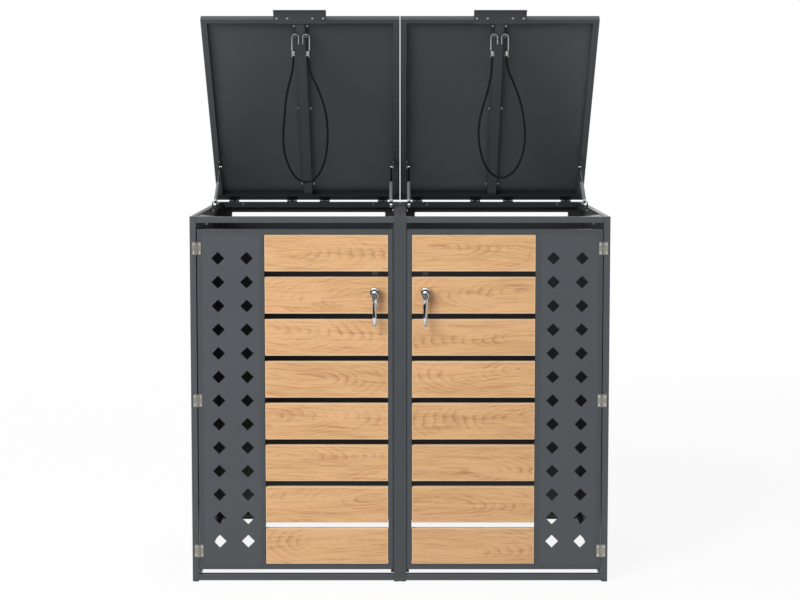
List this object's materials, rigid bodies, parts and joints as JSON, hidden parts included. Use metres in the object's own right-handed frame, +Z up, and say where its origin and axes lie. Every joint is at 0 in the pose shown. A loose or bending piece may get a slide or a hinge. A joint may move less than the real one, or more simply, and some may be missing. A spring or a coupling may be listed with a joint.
{
  "type": "wheelie bin store",
  "caption": "Outdoor steel store for two wheelie bins, with boarded and perforated front doors, lever handles and lids that open on gas struts.",
  "frame": {"origin": "centre of the store on the ground, with its lids open as stored", "axes": "+X to the right seen from the front, +Y to the back, +Z up"},
  "size_m": [1.32, 0.8623, 1.8249],
  "materials": {
    "anthracite_tube": "satin powder coat",
    "anthracite_sheet": "fine-textured powder coat",
    "wood_boards": "pale oak grain, satin",
    "zinc_hinge": "zinc plated",
    "chrome_handle": "polished",
    "lock_steel": "turned",
    "foot_plastic": "moulded",
    "cord_black": "braided sheath",
    "hook_steel": "bright zinc wire",
    "strut_tube": "gloss grey paint",
    "strut_rod": "hard chromed rod, dark ends"
  },
  "bodies": {
    "frame": {"front_posts": "anthracite_tube", "centre_posts": "anthracite_tube", "rear_posts": "anthracite_tube", "front_rails": "anthracite_tube", "rear_rails": "anthracite_tube", "outer_side_rails": "anthracite_tube", "centre_rails": "anthracite_tube", "left_side_panel": "anthracite_sheet", "right_side_panel": "anthracite_sheet", "rear_panels": "anthracite_sheet", "corner_gussets": "anthracite_sheet", "feet": "foot_plastic", "centre_cover_strip": "anthracite_tube", "door_hinge_post_leaves": "zinc_hinge", "door_hinge_pins": "zinc_hinge", "lid_hinge_rail_leaves": "zinc_hinge", "lid_hinge_pins": "zinc_hinge", "strut_rail_brackets": "anthracite_sheet", "frame_bolts": "zinc_hinge", "door_stop_strip": "anthracite_sheet"},
    "left_door": {"left_door_frame": "anthracite_tube", "left_door_perforated_sheet": "anthracite_sheet", "left_door_planks": "wood_boards", "left_door_hinge_leaves": "zinc_hinge", "left_lock_housing": "chrome_handle"},
    "left_handle": {"left_handle_lever": "chrome_handle", "left_latch_tongue": "zinc_hinge"},
    "left_lock": {"left_lock_plug": "lock_steel"},
    "left_lid": {"left_lid_skin": "anthracite_sheet", "left_lid_frame": "anthracite_tube", "left_lid_rib": "anthracite_sheet", "left_lid_grip_tab": "anthracite_sheet", "left_lid_hinge_leaves": "zinc_hinge", "left_lid_strut_brackets": "anthracite_sheet", "left_cord_hooks": "hook_steel", "left_elastic_cord": "cord_black"},
    "left_outer_strut_tube": {"left_outer_strut_cylinder": "strut_tube"},
    "left_outer_strut_piston": {"left_outer_strut_rod": "strut_rod"},
    "left_inner_strut_tube": {"left_inner_strut_cylinder": "strut_tube"},
    "left_inner_strut_piston": {"left_inner_strut_rod": "strut_rod"},
    "right_door": {"right_door_frame": "anthracite_tube", "right_door_perforated_sheet": "anthracite_sheet", "right_door_planks": "wood_boards", "right_door_hinge_leaves": "zinc_hinge", "right_lock_housing": "chrome_handle"},
    "right_handle": {"right_handle_lever": "chrome_handle", "right_latch_tongue": "zinc_hinge"},
    "right_lock": {"right_lock_plug": "lock_steel"},
    "right_lid": {"right_lid_skin": "anthracite_sheet", "right_lid_frame": "anthracite_tube", "right_lid_rib": "anthracite_sheet", "right_lid_grip_tab": "anthracite_sheet", "right_lid_hinge_leaves": "zinc_hinge", "right_lid_strut_brackets": "anthracite_sheet", "right_cord_hooks": "hook_steel", "right_elastic_cord": "cord_black"},
    "right_outer_strut_tube": {"right_outer_strut_cylinder": "strut_tube"},
    "right_outer_strut_piston": {"right_outer_strut_rod": "strut_rod"},
    "right_inner_strut_tube": {"right_inner_strut_cylinder": "strut_tube"},
    "right_inner_strut_piston": {"right_inner_strut_rod": "strut_rod"}
  },
  "joints": [
    {"name": "left_door_swing", "type": "hinge", "parent": "frame", "child": "left_door", "pos_m": [-0.6385, -0.39039, 0.5825], "axis": [0, 0, -1], "range_deg": [0, 170]},
    {"name": "left_handle_turn", "type": "hinge", "parent": "left_door", "child": "left_handle", "pos_m": [-0.0795, -0.38739, 0.931], "axis": [0, 1, 0], "range_deg": [0, 90]},
    {"name": "left_key_turn", "type": "hinge", "parent": "left_handle", "child": "left_lock", "pos_m": [-0.0795, -0.41679, 0.917], "axis": [0, 1, 0], "range_deg": [0, 90]},
    {"name": "left_lid_close", "type": "hinge", "parent": "frame", "child": "left_lid", "pos_m": [-0.3306, 0.41481, 1.1672], "axis": [1, 0, 0], "range_deg": [0, 52.8]},
    {"name": "left_outer_strut_tilt", "type": "hinge", "parent": "frame", "child": "left_outer_strut_tube", "pos_m": [-0.6307, 0.06761, 1.173], "axis": [-1, 0, 0], "range_deg": [0, 49.07]},
    {"name": "left_outer_strut_slide", "type": "slide", "parent": "left_outer_strut_tube", "child": "left_outer_strut_piston", "axis": [0, -0.8517, -0.5241], "range_m": [0, 0.06847]},
    {"name": "left_inner_strut_tilt", "type": "hinge", "parent": "frame", "child": "left_inner_strut_tube", "pos_m": [-0.0305, 0.06761, 1.173], "axis": [-1, 0, 0], "range_deg": [0, 49.07]},
    {"name": "left_inner_strut_slide", "type": "slide", "parent": "left_inner_strut_tube", "child": "left_inner_strut_piston", "axis": [0, -0.8517, -0.5241], "range_m": [0, 0.06847]},
    {"name": "right_door_swing", "type": "hinge", "parent": "frame", "child": "right_door", "pos_m": [0.6385, -0.39039, 0.5825], "axis": [0, 0, 1], "range_deg": [0, 170]},
    {"name": "right_handle_turn", "type": "hinge", "parent": "right_door", "child": "right_handle", "pos_m": [0.0795, -0.38739, 0.931], "axis": [0, -1, 0], "range_deg": [0, 90]},
    {"name": "right_key_turn", "type": "hinge", "parent": "right_handle", "child": "right_lock", "pos_m": [0.0795, -0.41679, 0.917], "axis": [0, 1, 0], "range_deg": [0, 90]},
    {"name": "right_lid_close", "type": "hinge", "parent": "frame", "child": "right_lid", "pos_m": [0.3306, 0.41481, 1.1672], "axis": [1, 0, 0], "range_deg": [0, 52.8]},
    {"name": "right_outer_strut_tilt", "type": "hinge", "parent": "frame", "child": "right_outer_strut_tube", "pos_m": [0.6307, 0.06761, 1.173], "axis": [-1, 0, 0], "range_deg": [0, 49.07]},
    {"name": "right_outer_strut_slide", "type": "slide", "parent": "right_outer_strut_tube", "child": "right_outer_strut_piston", "axis": [0, -0.8517, -0.5241], "range_m": [0, 0.06847]},
    {"name": "right_inner_strut_tilt", "type": "hinge", "parent": "frame", "child": "right_inner_strut_tube", "pos_m": [0.0305, 0.06761, 1.173], "axis": [-1, 0, 0], "range_deg": [0, 49.07]},
    {"name": "right_inner_strut_slide", "type": "slide", "parent": "right_inner_strut_tube", "child": "right_inner_strut_piston", "axis": [0, -0.8517, -0.5241], "range_m": [0, 0.06847]}
  ],
  "couplings": [
    {"joint": "left_outer_strut_tilt", "follows": "left_lid_close", "ratio": 0.92916},
    {"joint": "left_outer_strut_slide", "follows": "left_lid_close", "m_per_rad": 0.074287},
    {"joint": "left_inner_strut_tilt", "follows": "left_lid_close", "ratio": 0.92916},
    {"joint": "left_inner_strut_slide", "follows": "left_lid_close", "m_per_rad": 0.074287},
    {"joint": "right_outer_strut_tilt", "follows": "right_lid_close", "ratio": 0.92916},
    {"joint": "right_outer_strut_slide", "follows": "right_lid_close", "m_per_rad": 0.074287},
    {"joint": "right_inner_strut_tilt", "follows": "right_lid_close", "ratio": 0.92916},
    {"joint": "right_inner_strut_slide", "follows": "right_lid_close", "m_per_rad": 0.074287}
  ]
}
